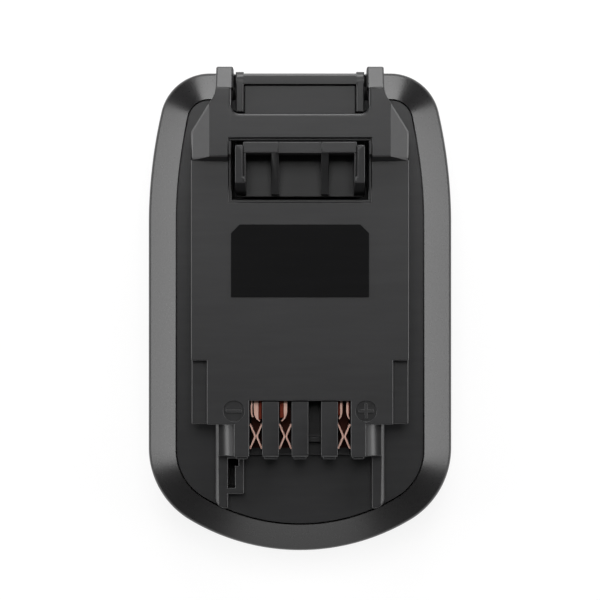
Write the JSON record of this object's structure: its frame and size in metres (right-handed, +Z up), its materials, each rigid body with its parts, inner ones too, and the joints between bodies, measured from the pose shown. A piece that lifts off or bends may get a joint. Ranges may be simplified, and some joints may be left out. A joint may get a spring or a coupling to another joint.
{
  "type": "tool battery adapter",
  "caption": "Black moulded adapter that slides into a cordless tool and takes a slide-on battery pack of another system, with sprung contacts and a push-down release latch.",
  "frame": {"origin": "middle of the casing's length and width, on the plane that the adapter rests on", "axes": "+X across the adapter, +Y from the nose to the battery mouth, +Z up towards the tool"},
  "size_m": [0.0754, 0.119, 0.042],
  "materials": {
    "casing_plastic": "satin moulded",
    "cover_plastic": "fine texture",
    "latch_plastic": "fine texture",
    "carrier_plastic": "fine texture",
    "receiver_plastic": "fine texture",
    "holder_plastic": "fine texture",
    "board_laminate": "satin",
    "resistor_body": "satin",
    "label_film": "semi-gloss film",
    "contact_copper": "bare copper alloy",
    "plain_steel": "zinc plated",
    "lead_black": "satin insulation",
    "lead_red": "satin insulation",
    "lead_white": "satin insulation"
  },
  "bodies": {
    "adapter": {"outer_casing": "casing_plastic", "interface_cover": "cover_plastic", "label_plate": "label_film", "contact_carrier": "carrier_plastic", "contact_negative": "contact_copper", "contact_signal": "contact_copper", "contact_positive": "contact_copper", "carrier_screws": "plain_steel", "guide_posts": "plain_steel", "latch_springs": "plain_steel", "battery_receiver": "receiver_plastic", "blade_holder": "holder_plastic", "blade_negative": "contact_copper", "blade_signal": "contact_copper", "blade_positive": "contact_copper", "holder_screws": "plain_steel", "lead_negative": "lead_black", "lead_positive": "lead_red", "lead_signal_tool": "lead_white", "lead_signal_battery": "lead_white", "coding_board": "board_laminate", "coding_resistors": "resistor_body", "housing_screws": "plain_steel"},
    "latch": {"release_latch": "latch_plastic"}
  },
  "joints": [
    {"name": "latch_press", "type": "slide", "parent": "adapter", "child": "latch", "axis": [0, 0, -1], "range_m": [0, 0.0035], "stiffness_N_per_m": 700, "springref_m": -0.004, "deforming": ["latch_springs"]}
  ]
}
